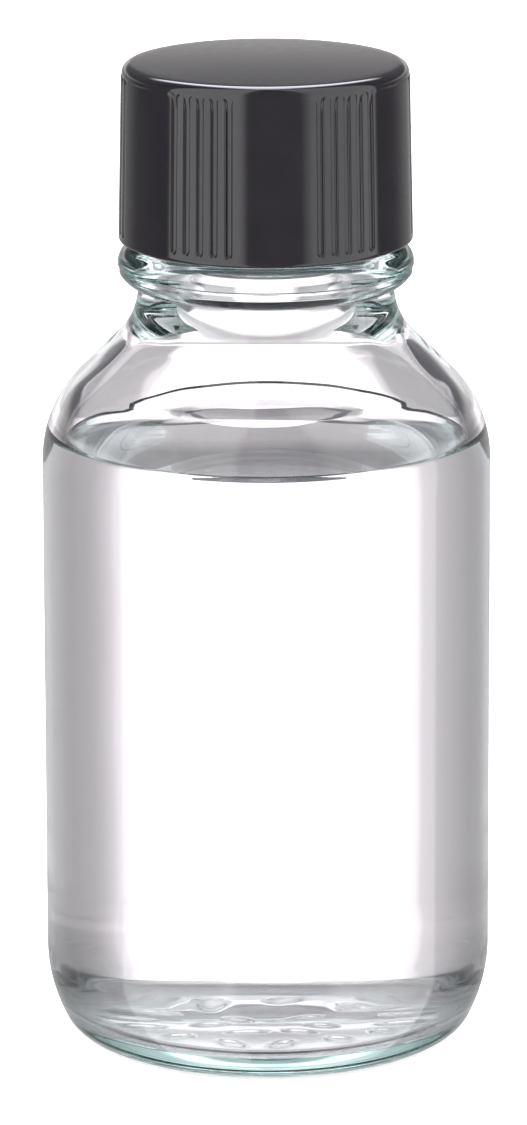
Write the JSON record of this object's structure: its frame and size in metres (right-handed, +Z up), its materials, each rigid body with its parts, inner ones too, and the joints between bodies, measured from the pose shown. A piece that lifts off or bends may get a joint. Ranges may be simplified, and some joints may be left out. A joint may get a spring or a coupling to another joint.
{
  "type": "reagent bottle",
  "caption": "Round clear glass reagent bottle with a sloping shoulder, a transfer bead and a black screw cap with grip grooves and a sealing liner, holding clear liquid.",
  "frame": {"origin": "centre of the base, on the plane that the bottle stands on", "axes": "+Z up the bottle's axis, +X to the right and -Y towards the viewer of the picture"},
  "size_m": [0.0466, 0.0464, 0.1034],
  "materials": {
    "clear_glass": "polished",
    "clear_liquid": "polished",
    "liner_film": "satin",
    "liner_foam": "matte",
    "cap_phenolic": "gloss"
  },
  "bodies": {
    "bottle": {"glass_bottle": "clear_glass", "liquid_fill": "clear_liquid"},
    "liner": {"liner_facing": "liner_film", "liner_backing": "liner_foam"},
    "cap": {"cap_shell": "cap_phenolic"}
  },
  "joints": [
    {"name": "cap_lift", "type": "slide", "parent": "bottle", "child": "liner", "axis": [0, 0, 1], "range_m": [0, 0.02117]},
    {"name": "cap_turn", "type": "hinge", "parent": "liner", "child": "cap", "pos_m": [0, 0, 0.0946], "axis": [0, 0, 1], "range_deg": [0, 1800]}
  ],
  "couplings": [
    {"joint": "cap_lift", "follows": "cap_turn", "m_per_rad": 0.0006737}
  ]
}
